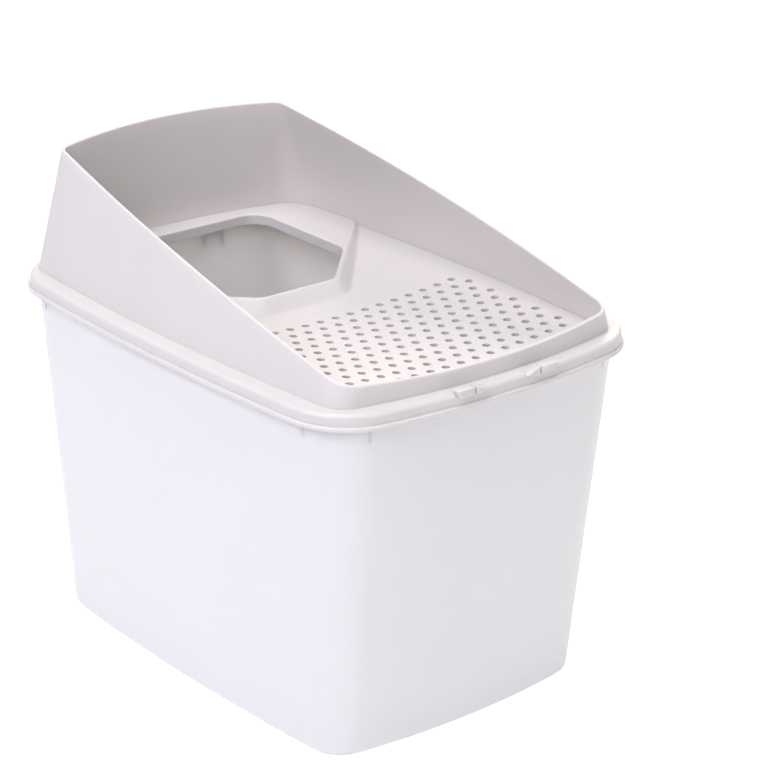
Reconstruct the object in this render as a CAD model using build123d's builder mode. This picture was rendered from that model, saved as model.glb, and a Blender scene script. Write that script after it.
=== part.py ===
"""Top entry litter box: a deep tapered bin under a one-piece lid that hinges at the rear.

The lid carries a rim that caps the bin, a sloping collar wall, a raised deck with the entry hole, and a
recessed perforated step in front of it. Millimetres, +Z up, origin on the floor under the bin's centre,
-Y at the low front end and +Y at the high rear end.
"""
import os
from math import hypot, radians, sqrt, tan

from build123d import *

# ---- bin ----
bin_height = 338.4          # floor to the top of the bin's rim
bin_top_width = 361.8       # outside, across the long sides at mid length
bin_top_length = 493.8      # outside, front to rear at mid width
bin_top_corner = 56.0
bin_base_width = 310.5
bin_base_length = 436.5
bin_base_corner = 34.5
bin_top_side_bow = 10.0     # how far each long side bulges past its corners
bin_top_end_bow = 17.5      # the same for the two short ends
bin_base_side_bow = 8.0
bin_base_end_bow = 13.0
bin_wall = 2.6
bin_floor = 3.0
bin_foot_radius = 7.0       # round between the walls and the base
foot_ring_width = 9.0       # standing ring around the underside
foot_recess = 1.2
flange_thickness = 2.5
flange_side = 3.95          # flange past the bin's wall, long sides
flange_end = 3.7            # and at the two ends
gusset_drop = 27.0          # corner gussets, down from the bin's top
gusset_thickness = 2.2
gusset_end_travel = 19.1    # from the start of the corner's round to a gusset on an end wall
gusset_side_travel = 16.6   # and to one on a long side

# ---- lid rim ----
seat_gap = 0.3              # bin's top to the underside of the lid's shelf
skirt_gap = 0.5             # bin's flange to the inside of the lid's skirt
rim_corner = 64.0
side_bow = 10.5
end_bow = 18.6
lid_wall = 2.6
skirt_drop = 14.6           # shelf top to the lip's underside
lip_height = 3.8
lip_flare = 2.3
shelf_round = 4.0

# ---- lid collar ----
collar_wall = 3.0
collar_side_inset = 19.3    # rim's edge to the collar's foot, long sides
collar_front_inset = 17.1
collar_rear_inset = 3.0
collar_front_corner = 24.5
collar_foot_corner = 37.6   # rear corners, at the shelf
collar_top_corner = 12.0    # and at the top
side_lean = 0.275           # inward travel for each mm of height
rear_lean = 0.083
front_lean = 0.012
rear_rise = 114.1           # collar top above the shelf at the rear
front_rise = 15.1           # and at the front
slope_crown = 2.8           # how far the sloping edge bulges above a straight line

# ---- deck, step and entry hole ----
step_drop = 13.1            # deck down to the perforated step at its centre line
step_radius = 1500.0        # the step is a shallow trough along the length
deck_front = 27.5           # y of the raised deck's front edge
deck_front_half = 45.0      # half width of that edge, before the 45 degree corners
deck_corner_round = 16.0
riser_angle = 42.0          # slope of the riser, from the vertical
riser_top_round = 4.0
entry_margin = 3.5          # deck kept in front of the entry hole
entry_half_width = 105.0
entry_rear = 226.6          # y of the hole's rear edge
entry_rear_corner = 22.0
entry_lip = 10.0            # turned-down lip around the hole
hole_diameter = 7.6
hole_pitch = 17.5
first_row_y = -23.6
perforated_half_width = 150.0
perforated_front_margin = 11.0
perforated_corner = 34.0    # the field of holes is rounded where the collar is

# ---- front lugs ----
lug_slot_x = 37.4           # centre line of the slit between a pad and its wedge
lug_slot_width = 2.0
lug_pad_length = 19.5
lug_wedge_length = 15.0
lug_rise = 3.8              # above the shelf
lug_depth = 9.0
lug_round = 1.2
lug_foot = 3.6              # below the shelf
finger_half_width = 20.0    # dip between the two lugs
finger_depth = 7.5
finger_drop = 1.2

# ---- rear hinge ----
hinge_x = 60.0              # centre of each hinge, either side of the middle
hinge_drop = 5.2            # lip's underside to the hinge axis
hinge_back = 4.6            # axis in front of the lip's rear edge at mid width
pin_radius = 2.0
pin_clearance = 0.08
barrel_radius = 4.6
barrel_length = 18.0
ear_thickness = 3.4
ear_side_gap = 0.4
ear_root = 18.0             # height of an ear where it leaves the bin's wall
barrel_web = 4.7            # thickness of the web above each barrel
barrel_web_shift = -0.15    # its middle, in front of the axis
pin_head_radius = 3.2
pin_head_length = 1.6

# ---- worked out ----
rim_width = bin_top_width + 2 * (flange_side + skirt_gap + lid_wall + lip_flare)
rim_length = bin_top_length + 2 * (flange_end + skirt_gap + lid_wall + lip_flare)
shelf_top = bin_height + seat_gap + lid_wall
lip_bottom = shelf_top - skirt_drop
collar_foot = shelf_top - step_drop - 2 * lid_wall
collar_top = shelf_top + rear_rise
collar_high = collar_top + collar_wall
front_y = -(rim_length / 2 - collar_front_inset)
rear_y = rim_length / 2 - collar_rear_inset
slope_front = (front_y + front_lean * front_rise, shelf_top + front_rise)
slope_rear = (rear_y - rear_lean * rear_rise, collar_top)
slope_middle = (
    (slope_front[0] + slope_rear[0]) / 2,
    (slope_front[1] + slope_rear[1]) / 2 + slope_crown,
)
axis_y = rim_length / 2 - hinge_back
axis_z = lip_bottom - hinge_drop
row_pitch = hole_pitch * sqrt(3) / 2
lug_front = -rim_length / 2
lug_top = shelf_top + lug_rise
pad_start = lug_slot_x + lug_slot_width / 2
wedge_end = lug_slot_x - lug_slot_width / 2
outside = rim_length
above_all = collar_top + outside
gusset_x = bin_top_width / 2 - bin_top_side_bow - bin_top_corner + gusset_end_travel
gusset_y = bin_top_length / 2 - bin_top_end_bow - bin_top_corner + gusset_side_travel
ear_offset = barrel_length / 2 + ear_side_gap + ear_thickness / 2
pin_half_length = ear_offset + ear_thickness / 2
ear_web = [
    (axis_y, axis_z + barrel_radius),
    (bin_top_length / 2 - 4 * bin_wall, axis_z + barrel_radius),
    (bin_top_length / 2 - 4 * bin_wall, axis_z + barrel_radius - ear_root),
    (axis_y, axis_z - barrel_radius),
]
form_half = rim_width / 2 - lip_flare - lid_wall
form_base = shelf_top - 2 * step_drop
deck_reach = form_half - deck_front_half
deck_corners = [
    (-deck_front_half, deck_front),
    (deck_front_half, deck_front),
    (form_half, deck_front + deck_reach),
    (form_half, outside),
    (-form_half, outside),
    (-form_half, deck_front + deck_reach),
]


def bowed_outline(half_x, half_y, corner, bow_x, bow_y, centre_y=0.0, front_corner=None):
    """Draw a rounded rectangle whose four sides bulge outwards, in the open sketch."""
    x = half_x - bow_x
    y = half_y - bow_y
    with BuildLine() as border:
        ThreePointArc((x, centre_y - y), (half_x, centre_y), (x, centre_y + y))
        ThreePointArc((x, centre_y + y), (0, centre_y + half_y), (-x, centre_y + y))
        ThreePointArc((-x, centre_y + y), (-half_x, centre_y), (-x, centre_y - y))
        ThreePointArc((-x, centre_y - y), (0, centre_y - half_y), (x, centre_y - y))
    make_face(border.edges())
    fillet(vertices().group_by(Axis.Y)[0], front_corner or corner)
    fillet(vertices().group_by(Axis.Y)[-1], corner)


def trough(x):
    """Height of the step's upper face at x: an arc across the width."""
    return shelf_top - step_drop + step_radius - sqrt(step_radius**2 - x**2)


def blend(base, top, z):
    """Value at height z of a size that runs straight from the bin's base to its top."""
    return base + (top - base) * z / bin_height


def bin_outline(z, inset=0.0):
    """Draw the bin's outline at height z, moved in by inset."""
    bowed_outline(
        blend(bin_base_width, bin_top_width, z) / 2 - inset,
        blend(bin_base_length, bin_top_length, z) / 2 - inset,
        blend(bin_base_corner, bin_top_corner, z) - inset,
        blend(bin_base_side_bow, bin_top_side_bow, z),
        blend(bin_base_end_bow, bin_top_end_bow, z),
    )


def rim_outline(inset=0.0):
    """Draw the lid rim's outline, moved in by inset from the lip's edge."""
    bowed_outline(rim_width / 2 - inset, rim_length / 2 - inset, rim_corner - inset, side_bow, end_bow)


def collar_outline(z, inset=0.0):
    """Draw the collar's outline at height z, moved in by inset from its outside."""
    rise = z - shelf_top
    front = front_y + front_lean * rise + inset
    rear = rear_y - rear_lean * rise - inset
    corner = collar_foot_corner + (collar_top_corner - collar_foot_corner) * rise / rear_rise
    half_x = rim_width / 2 - collar_side_inset - side_lean * rise - inset
    bowed_outline(
        half_x,
        (rear - front) / 2,
        corner - inset,
        side_bow,
        end_bow,
        (rear + front) / 2,
        collar_front_corner - inset,
    )


def entry_outline(grow=0.0):
    """Draw the entry hole: square at the rear, with its front corners cut at 45 degrees."""
    front = deck_front + entry_margin - grow
    half = entry_half_width + grow
    front_half = deck_front_half + (entry_margin - grow) * tan(radians(22.5)) - entry_margin + grow
    rear = entry_rear + grow
    with BuildLine() as border:
        Polyline(
            (-front_half, front),
            (front_half, front),
            (half, front + half - front_half),
            (half, rear),
            (-half, rear),
            (-half, front + half - front_half),
            close=True,
        )
    make_face(border.edges())
    fillet(vertices(), entry_rear_corner + grow)


def perforations():
    """List the centres of the step's drain holes: staggered rows kept clear of the collar's wall."""
    front = front_y + collar_wall + perforated_front_margin
    columns = int(perforated_half_width / hole_pitch) + 1
    centres = []
    for row in range(int((first_row_y - front) / row_pitch) + 1):
        y = first_row_y - row * row_pitch
        shift = hole_pitch / 2 * (row % 2)
        for column in range(-columns, columns + 1):
            x = column * hole_pitch + shift
            bow = end_bow * (x / perforated_half_width) ** 2
            corner_x = max(0, abs(x) - perforated_half_width + perforated_corner)
            corner_y = max(0, front + bow + perforated_corner - y)
            if max(corner_x, corner_y, hypot(corner_x, corner_y)) <= perforated_corner:
                centres.append((x, y))
    return centres


# ---- the bin ----
with BuildPart() as bin_inside:
    with BuildSketch(Plane.XY.offset(bin_floor)):
        bin_outline(bin_floor, bin_wall)
    with BuildSketch(Plane.XY.offset(bin_height)):
        bin_outline(bin_height, bin_wall)
    loft(ruled=True)
    fillet(bin_inside.faces().sort_by(Axis.Z)[0].edges(), bin_foot_radius - bin_wall)

with BuildPart() as gusset_slices:
    with Locations((0, gusset_y, bin_height), (0, -gusset_y, bin_height)):
        Box(outside, gusset_thickness, 4 * gusset_drop)
    with Locations((gusset_x, 0, bin_height), (-gusset_x, 0, bin_height)):
        Box(gusset_thickness, outside * 2, 4 * gusset_drop)

# A solid that flares from the wall out to the flange; thin slices of it are the corner gussets.
with BuildPart() as gussets:
    with BuildSketch(Plane.XY.offset(bin_height - gusset_drop)):
        bin_outline(bin_height - gusset_drop)
    with BuildSketch(Plane.XY.offset(bin_height - flange_thickness)):
        rim_outline(lip_flare + lid_wall + skirt_gap)
    loft(ruled=True)
    add(gusset_slices.part, mode=Mode.INTERSECT)

with BuildPart() as litter_bin:
    with BuildSketch(Plane.XY):
        bin_outline(0)
    with BuildSketch(Plane.XY.offset(bin_height)):
        bin_outline(bin_height)
    loft(ruled=True)
    fillet(litter_bin.faces().sort_by(Axis.Z)[0].edges(), bin_foot_radius)
    with BuildSketch(Plane.XY):
        bin_outline(0, bin_foot_radius + foot_ring_width)
    extrude(amount=foot_recess, mode=Mode.SUBTRACT)
    with BuildSketch(Plane.XY.offset(bin_height)):
        rim_outline(lip_flare + lid_wall + skirt_gap)
    extrude(amount=-flange_thickness)
    add(gussets.part)
    for side in (-1, 1):
        for ear in (-1, 1):
            ear_x = side * hinge_x + ear * ear_offset
            with BuildSketch(Plane.YZ.offset(ear_x)):
                with Locations((axis_y, axis_z)):
                    Circle(barrel_radius)
                Polygon(*ear_web, align=None)
            extrude(amount=ear_thickness / 2, both=True)
    add(bin_inside.part, mode=Mode.SUBTRACT)
    with BuildSketch(Plane.YZ):
        with Locations((axis_y, axis_z)):
            Circle(pin_radius)
    extrude(amount=outside / 2, both=True, mode=Mode.SUBTRACT)

# ---- the hinge pins ----
with BuildPart() as hinge_pins:
    for side in (-1, 1):
        with BuildSketch(Plane.YZ.offset(side * (hinge_x - pin_half_length))):
            with Locations((axis_y, axis_z)):
                Circle(pin_radius)
        extrude(amount=side * 2 * pin_half_length)
        with BuildSketch(Plane.YZ.offset(side * (hinge_x + pin_half_length))):
            with Locations((axis_y, axis_z)):
                Circle(pin_head_radius)
        extrude(amount=side * pin_head_length)

# ---- the lid ----
# Everything below the upper faces of the step and the deck, as one solid; the moulding is its skin.
with BuildPart() as floor_form:
    with BuildSketch(Plane.XZ.offset(-outside)):
        with BuildLine():
            ThreePointArc((-form_half, trough(form_half)), (0, trough(0)), (form_half, trough(form_half)))
            Polyline(
                (form_half, trough(form_half)),
                (form_half, form_base),
                (-form_half, form_base),
                (-form_half, trough(form_half)),
            )
        make_face()
    extrude(amount=2 * outside)
    with BuildSketch(Plane.XY.offset(shelf_top)) as deck_plan:
        Polygon(*deck_corners, align=None)
        fillet(deck_plan.vertices().group_by(Axis.Y)[0], deck_corner_round)
    extrude(amount=form_base - shelf_top, taper=-riser_angle)
    top_edges = floor_form.edges().filter_by_position(Axis.Z, shelf_top - 0.01, shelf_top + 0.01)
    fillet(top_edges.filter_by_position(Axis.Y, 0, deck_front + deck_reach - 1), riser_top_round)

with BuildPart() as collar_solid:
    with BuildSketch(Plane.XY.offset(collar_foot)):
        collar_outline(collar_foot)
    with BuildSketch(Plane.XY.offset(collar_high)):
        collar_outline(collar_high)
    loft(ruled=True)

with BuildPart() as collar_room:
    with BuildSketch(Plane.XY.offset(collar_foot)):
        collar_outline(collar_foot, collar_wall)
    with BuildSketch(Plane.XY.offset(collar_high)):
        collar_outline(collar_high, collar_wall)
    loft(ruled=True)

with BuildPart() as under_floor:
    with Locations((0, 0, -lid_wall)):
        add(floor_form.part)

with BuildPart() as floor_plate:
    add(floor_form.part)
    add(under_floor.part, mode=Mode.SUBTRACT)
    add(collar_solid.part, mode=Mode.INTERSECT)

with BuildPart() as collar:
    add(collar_solid.part)
    add(collar_room.part, mode=Mode.SUBTRACT)
    add(under_floor.part, mode=Mode.SUBTRACT)
    with BuildSketch(Plane.YZ):
        with BuildLine():
            ThreePointArc(slope_front, slope_middle, slope_rear)
            Polyline(
                slope_rear,
                (outside, collar_top),
                (outside, above_all),
                (-outside, above_all),
                (-outside, slope_front[1]),
                slope_front,
            )
        make_face()
    extrude(amount=outside, both=True, mode=Mode.SUBTRACT)

with BuildPart() as lug_form:
    for side in (-1, 1):
        pad_middle = side * (pad_start + lug_pad_length / 2)
        with Locations((pad_middle, lug_front + lug_depth / 2, lug_top - (lug_rise + lug_foot) / 2)):
            Box(lug_pad_length, lug_depth, lug_rise + lug_foot)
    fillet(lug_form.edges().filter_by_position(Axis.Z, lug_top - 0.01, lug_top + 0.01), lug_round)
    for side in (-1, 1):
        with BuildSketch(Plane.XZ.offset(-lug_front)):
            Polygon(
                (side * wedge_end, lug_top),
                (side * wedge_end, shelf_top - lug_foot),
                (side * (wedge_end - lug_wedge_length / 2), shelf_top - lug_foot),
                (side * (wedge_end - lug_wedge_length), shelf_top - lug_round),
                align=None,
            )
        extrude(amount=-lug_depth)

# The two rear hinge barrels and the webs they hang from.
with BuildPart() as barrels:
    for side in (-1, 1):
        with BuildSketch(Plane.YZ.offset(side * hinge_x)):
            with Locations((axis_y, axis_z)):
                Circle(barrel_radius)
            with Locations((axis_y - barrel_web_shift, axis_z + (lip_bottom - axis_z + lip_height) / 2)):
                Rectangle(barrel_web, lip_bottom - axis_z + lip_height)
        extrude(amount=barrel_length / 2, both=True)

with BuildPart() as lid:
    with BuildSketch(Plane.XY.offset(lip_bottom)):
        rim_outline(lip_flare)
    extrude(amount=skirt_drop)
    fillet(lid.faces().sort_by(Axis.Z)[-1].edges(), shelf_round)
    with BuildSketch(Plane.XY.offset(lip_bottom)):
        rim_outline()
    extrude(amount=lip_height)
    add(lug_form.part)
    add(barrels.part)
    with BuildSketch(Plane.XY.offset(lip_bottom)):
        rim_outline(lip_flare + lid_wall)
    extrude(amount=skirt_drop - lid_wall, mode=Mode.SUBTRACT)
    with BuildSketch(Plane.YZ):
        Polygon(
            (lug_front + lip_flare + finger_depth, shelf_top),
            (lug_front, shelf_top - finger_drop),
            (lug_front, shelf_top + finger_drop),
            (lug_front + lip_flare + finger_depth, shelf_top + finger_drop),
            align=None,
        )
    extrude(amount=finger_half_width, both=True, mode=Mode.SUBTRACT)
    with BuildSketch(Plane.XY.offset(shelf_top)):
        collar_outline(shelf_top, collar_wall / 2)
    extrude(amount=-lid_wall, mode=Mode.SUBTRACT)
    add(collar.part)
    add(floor_plate.part)
    with BuildSketch(Plane.XY.offset(shelf_top)):
        entry_outline(lid_wall)
    extrude(amount=-entry_lip)
    with BuildSketch(Plane.XY.offset(shelf_top)):
        entry_outline()
    extrude(amount=-2 * entry_lip, mode=Mode.SUBTRACT)
    with BuildSketch(Plane.XY.offset(shelf_top)):
        with Locations(*perforations()):
            Circle(hole_diameter / 2)
    extrude(amount=-2 * step_drop, mode=Mode.SUBTRACT)
    with BuildSketch(Plane.YZ):
        with Locations((axis_y, axis_z)):
            Circle(pin_radius + pin_clearance)
    extrude(amount=outside / 2, both=True, mode=Mode.SUBTRACT)

litter_bin.part.label = "bin"
hinge_pins.part.label = "hinge_pins"
lid.part.label = "lid"

os.makedirs("parts", exist_ok=True)
export_step(litter_bin.part, "parts/bin.step")
export_step(hinge_pins.part, "parts/hinge_pins.step")
export_step(lid.part, "parts/lid.step")
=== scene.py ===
"""Top entry litter box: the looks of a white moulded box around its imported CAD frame.

A deep tapered tub stands under a lid of the same plastic. The lid has a rolled rim, a collar that
slopes from low at the front to high at the rear, a deck with the entry hole and a perforated step.
Sizes are millimetres in the classes below and become metres where a mesh is made.
"""
from __future__ import annotations

import logging
import math
from dataclasses import dataclass, field
from enum import Enum, IntEnum
from functools import cache
from typing import Callable, Iterable, Sequence

import bmesh
import bpy
import numpy as np
from mathutils import Matrix, Vector
from mathutils.geometry import delaunay_2d_cdt

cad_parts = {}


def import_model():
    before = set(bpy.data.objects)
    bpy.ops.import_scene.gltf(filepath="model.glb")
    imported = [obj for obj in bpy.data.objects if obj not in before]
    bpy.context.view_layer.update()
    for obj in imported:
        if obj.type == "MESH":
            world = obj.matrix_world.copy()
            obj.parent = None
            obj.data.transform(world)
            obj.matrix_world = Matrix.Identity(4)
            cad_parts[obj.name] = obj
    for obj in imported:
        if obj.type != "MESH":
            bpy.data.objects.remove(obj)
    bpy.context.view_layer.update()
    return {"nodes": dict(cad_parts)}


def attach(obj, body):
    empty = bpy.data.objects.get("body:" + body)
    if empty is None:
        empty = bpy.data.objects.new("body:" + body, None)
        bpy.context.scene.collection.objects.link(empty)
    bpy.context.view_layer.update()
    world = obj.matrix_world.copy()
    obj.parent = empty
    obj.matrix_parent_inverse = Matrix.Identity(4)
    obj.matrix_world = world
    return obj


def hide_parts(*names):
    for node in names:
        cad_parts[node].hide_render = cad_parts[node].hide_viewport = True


log = logging.getLogger("litter_box")
MM = 0.001
CREASE = 32.0  # degrees past which an edge stays sharp
SOFTENED = 30.0  # degrees past which a plate's edge is bevelled
SAME_POINT = 0.002  # mm between points that are merged
NO_LENGTH = 0.001  # mm; a shorter edge is dissolved
WAVE_SCALE = 20  # how much finer a wave texture draws than its Scale says
MIX_FIRST, MIX_SECOND, MIX_RESULT = 6, 7, 2  # a Mix node's colour sockets, by number


class Body(Enum):
    """CAD bodies that a piece can ride on."""

    BIN = "bin"
    LID = "lid"


class Slot(Enum):
    """Names of material slots handed to each piece; nothing reads them, and the pieces take their finish from
    the material given.
    """

    BIN = "bin_plastic"
    LID = "lid_plastic"


class Axis(IntEnum):
    """Axes in plan, in the order of a point's coordinates."""

    X = 0
    Y = 1


# --------------------------------------------------------------------------------------------------
# Materials
# --------------------------------------------------------------------------------------------------


def linear(hex_colour: str) -> tuple[float, float, float, float]:
    """Turn an sRGB hex colour into the linear colour that shaders read.

    Args:
        hex_colour: Six hex digits, with or without a leading hash.

    Returns:
        Red, green, blue and an alpha of 1.
    """
    digits = hex_colour.lstrip("#")
    parts = [int(digits[i : i + 2], 16) / 255 for i in (0, 2, 4)]
    red, green, blue = (c / 12.92 if c <= 0.04045 else ((c + 0.055) / 1.055) ** 2.4 for c in parts)
    return red, green, blue, 1.0


def add_node(tree: bpy.types.NodeTree, kind: str, settings: dict, links: dict) -> bpy.types.Node:
    """Add a node, set its properties and input values, and link its inputs.

    Args:
        tree: Node tree that gets the node.
        kind: Blender's identifier of the node type.
        settings: Property names, or input names or numbers, with their values.
        links: Input names or numbers with the socket, or the sockets, that feed them.

    Returns:
        The new node.
    """
    node = tree.nodes.new(kind)
    for name, value in settings.items():
        if isinstance(name, str) and hasattr(node, name):
            setattr(node, name, value)
        else:
            node.inputs[name].default_value = value
    for name, sockets in links.items():
        for socket in sockets if isinstance(sockets, tuple) else (sockets,):
            tree.links.new(socket, node.inputs[name])
    return node


def blank_material(name: str) -> tuple[bpy.types.Material, bpy.types.NodeTree]:
    """Make a material with an empty node tree.

    Args:
        name: Name of the material.

    Returns:
        The material and its tree.
    """
    material = bpy.data.materials.new(name)
    material.use_nodes = True
    material.node_tree.nodes.clear()
    return material, material.node_tree


@dataclass(frozen=True)
class MouldedPolypropylene:
    """Injection-moulded polypropylene with a fine spark-eroded grain.

    To the eye it is a soft, even white with a broad dull sheen, slightly milky where it is thin, with a
    faint cloudiness from the flow of the melt and a few rubbed patches that shine a little more.
    """

    name: str
    colour: str
    cloud_colour: str
    roughness: float = 0.42
    rubbed_roughness: float = 0.33
    grain_size: float = 0.9  # mm; the real grain is about 0.2 mm, drawn coarser so that it shows
    grain_height: float = 0.012  # mm
    grain_strength: float = 0.35
    cloud_size: float = 85.0  # mm, flow marks across a wall
    rub_share: float = 0.35  # size of a rubbed patch, as a share of a cloud's
    milkiness: float = 0.15
    milk_depth: float = 2.0  # mm that light travels in the wall
    milk_tint: tuple[float, float, float] = (1.0, 0.93, 0.86)  # red travels furthest
    ior: float = 1.49

    def build(self) -> bpy.types.Material:
        """Make the material.

        Returns:
            The new material.
        """
        material, tree = blank_material(self.name)
        place = add_node(tree, "ShaderNodeTexCoord", {}, {}).outputs["Object"]
        cloud = add_node(
            tree, "ShaderNodeTexNoise",
            {"Scale": 1 / (self.cloud_size * MM), "Detail": 3.0, "Roughness": 0.55},
            {"Vector": place},
        )
        tone = add_node(
            tree, "ShaderNodeMix",
            {"data_type": "RGBA", MIX_FIRST: linear(self.colour), MIX_SECOND: linear(self.cloud_colour)},
            {0: cloud.outputs["Fac"]},
        )
        rub = add_node(
            tree, "ShaderNodeTexNoise",
            {
                "Scale": 1 / (self.cloud_size * self.rub_share * MM),
                "Detail": 5.0,
                "Roughness": 0.65,
                "Distortion": 0.6,
            },
            {"Vector": place},
        )
        gloss = add_node(
            tree, "ShaderNodeMapRange",
            {"From Min": 0.45, "From Max": 0.75, "To Min": self.roughness, "To Max": self.rubbed_roughness},
            {"Value": rub.outputs["Fac"]},
        )
        grain = add_node(
            tree, "ShaderNodeTexNoise",
            {"Scale": 1 / (self.grain_size * MM), "Detail": 2.0, "Roughness": 0.5},
            {"Vector": place},
        )
        bump = add_node(
            tree, "ShaderNodeBump",
            {"Strength": self.grain_strength, "Distance": self.grain_height * MM},
            {"Height": grain.outputs["Fac"]},
        )
        surface = add_node(
            tree, "ShaderNodeBsdfPrincipled",
            {
                "IOR": self.ior,
                "Subsurface Weight": self.milkiness,
                "Subsurface Radius": self.milk_tint,
                "Subsurface Scale": self.milk_depth * MM,
            },
            {
                "Base Color": tone.outputs[MIX_RESULT],
                "Roughness": gloss.outputs["Result"],
                "Normal": bump.outputs["Normal"],
            },
        )
        add_node(tree, "ShaderNodeOutputMaterial", {}, {"Surface": surface.outputs["BSDF"]})
        return material


@dataclass(frozen=True)
class TurnedAcetal:
    """Turned acetal rod: a dense, slightly waxy white with fine rings from the cutting tool."""

    name: str = "turned acetal"
    colour: str = "e6e4de"
    roughness: float = 0.3
    ring_size: float = 0.6  # mm; tool rings come 2 pi of these apart, coarser than the real 0.1 mm to show
    ring_height: float = 0.02  # mm
    ring_strength: float = 0.2
    ior: float = 1.48

    def build(self) -> bpy.types.Material:
        """Make the material.

        Returns:
            The new material.
        """
        material, tree = blank_material(self.name)
        place = add_node(tree, "ShaderNodeTexCoord", {}, {}).outputs["Object"]
        rings = add_node(
            tree, "ShaderNodeTexWave",
            {"bands_direction": "X", "Scale": 1 / (self.ring_size * MM * WAVE_SCALE), "Distortion": 0.4},
            {"Vector": place},
        )
        bump = add_node(
            tree, "ShaderNodeBump",
            {"Strength": self.ring_strength, "Distance": self.ring_height * MM},
            {"Height": rings.outputs["Fac"]},
        )
        surface = add_node(
            tree, "ShaderNodeBsdfPrincipled",
            {"Base Color": linear(self.colour), "Roughness": self.roughness, "IOR": self.ior},
            {"Normal": bump.outputs["Normal"]},
        )
        add_node(tree, "ShaderNodeOutputMaterial", {}, {"Surface": surface.outputs["BSDF"]})
        return material


# --------------------------------------------------------------------------------------------------
# Outlines and meshes
# --------------------------------------------------------------------------------------------------


@dataclass(frozen=True)
class BowedOutline:
    """A rounded rectangle whose four sides bulge outwards, as the tub and the lid have in plan."""

    half_x: float
    half_y: float
    corner: float
    bow_x: float
    bow_y: float
    centre_y: float = 0.0

    def loop(self, side: int = 18, corner: int = 14, end: int = 14) -> np.ndarray:
        """Sample the outline anticlockwise from its rightmost point.

        Args:
            side: Steps along half of a long side.
            corner: Steps round a corner.
            end: Steps along half of a short side.

        Returns:
            An array of x and y, four quadrants long.
        """
        side_radius = (self.bow_x**2 + (self.half_y - self.bow_y) ** 2) / (2 * self.bow_x)
        end_radius = (self.bow_y**2 + (self.half_x - self.bow_x) ** 2) / (2 * self.bow_y)
        side_centre = np.array([self.half_x - side_radius, 0.0])
        end_centre = np.array([0.0, self.half_y - end_radius])
        reach_side = side_radius - self.corner
        reach_end = end_radius - self.corner
        across = end_centre - side_centre
        gap = float(np.hypot(*across))
        along = (reach_side**2 - reach_end**2 + gap**2) / (2 * gap)
        height = math.sqrt(max(reach_side**2 - along**2, 0.0))
        unit = across / gap
        foot = side_centre + along * unit
        aside = height * np.array([unit[1], -unit[0]])
        round_centre = max([foot + aside, foot - aside], key=lambda p: p[0] + p[1])
        start = math.atan2(*(round_centre - side_centre)[::-1])
        stop = math.atan2(*(round_centre - end_centre)[::-1])
        turns = [
            (side_centre, side_radius, np.linspace(0, start, side + 1)[:-1]),
            (round_centre, self.corner, np.linspace(start, stop, corner + 1)[:-1]),
            (end_centre, end_radius, np.linspace(stop, math.pi / 2, end + 1)),
        ]
        quadrant = np.vstack([c + r * np.column_stack([np.cos(t), np.sin(t)]) for c, r, t in turns])
        upper = np.vstack([quadrant, quadrant[-2::-1] * (-1, 1)])
        whole = np.vstack([upper, upper[-2:0:-1] * (1, -1)])
        return whole + (0.0, self.centre_y)


def ring(loop: np.ndarray, z: float | np.ndarray) -> np.ndarray:
    """Lift a plan loop to height z, which may be one number or one for each point."""
    return np.column_stack([loop, np.broadcast_to(z, len(loop))])


def object_from(name: str, points: np.ndarray, faces: Sequence[Sequence[int]]) -> bpy.types.Object:
    """Make an object from points in millimetres, smooth but for edges sharper than the crease angle.

    Args:
        name: Name of the piece.
        points: One row of x, y, z for each point.
        faces: Point numbers of each face, anticlockwise from outside.

    Returns:
        The new object, linked to the scene.
    """
    mesh = bpy.data.meshes.new(name)
    mesh.from_pydata((np.asarray(points) * MM).tolist(), [], [list(f) for f in faces])
    shade(mesh)
    piece = bpy.data.objects.new(name, mesh)
    bpy.context.scene.collection.objects.link(piece)
    return piece


def shade(mesh: bpy.types.Mesh) -> None:
    """Merge doubles, point the faces outwards and mark edges past the crease angle as sharp.

    Args:
        mesh: Mesh to change.
    """
    work = bmesh.new()
    work.from_mesh(mesh)
    bmesh.ops.remove_doubles(work, verts=work.verts, dist=SAME_POINT * MM)
    bmesh.ops.dissolve_degenerate(work, edges=work.edges, dist=NO_LENGTH * MM)
    bmesh.ops.recalc_face_normals(work, faces=work.faces)
    for face in work.faces:
        face.smooth = True
    for edge in work.edges:
        edge.smooth = len(edge.link_faces) == 2 and edge.calc_face_angle(0.0) < math.radians(CREASE)
    work.to_mesh(mesh)
    work.free()


def skin(rings: Sequence[np.ndarray], closed: bool) -> tuple[np.ndarray, list[tuple[int, ...]]]:
    """Join equal rings with quads.

    Args:
        rings: Rings of points, in order along the section.
        closed: True joins the last ring to the first; False closes both ends with strips across.

    Returns:
        The points and the faces.
    """
    count = len(rings[0])
    faces: list[tuple[int, ...]] = []
    spans = len(rings) if closed else len(rings) - 1
    for row in range(spans):
        a, b = row * count, (row + 1) % len(rings) * count
        for i in range(count):
            j = (i + 1) % count
            faces.append((a + i, a + j, b + j, b + i))
    if not closed:
        quarter = count // 4
        for base, flip in ((0, True), ((len(rings) - 1) * count, False)):
            for k in range(-quarter, quarter):
                right, right_next = k % count, (k + 1) % count
                left, left_next = (2 * quarter - k) % count, (2 * quarter - k - 1) % count
                face = list(dict.fromkeys((right, right_next, left_next, left)))
                face = face[::-1] if flip else face
                faces.append(tuple(base + i for i in face))
    return np.vstack(rings), faces


def quarter_round(radius: float, steps: int) -> list[tuple[float, float]]:
    """List the inset and drop of points round a quarter circle, from the side face to the top face.

    Args:
        radius: Radius of the round.
        steps: Steps round it.

    Returns:
        Pairs of inset and drop.
    """
    angles = [math.pi / 2 * k / steps for k in range(steps + 1)]
    return [(radius * (1 - math.cos(a)), radius * (1 - math.sin(a))) for a in angles]


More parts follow.
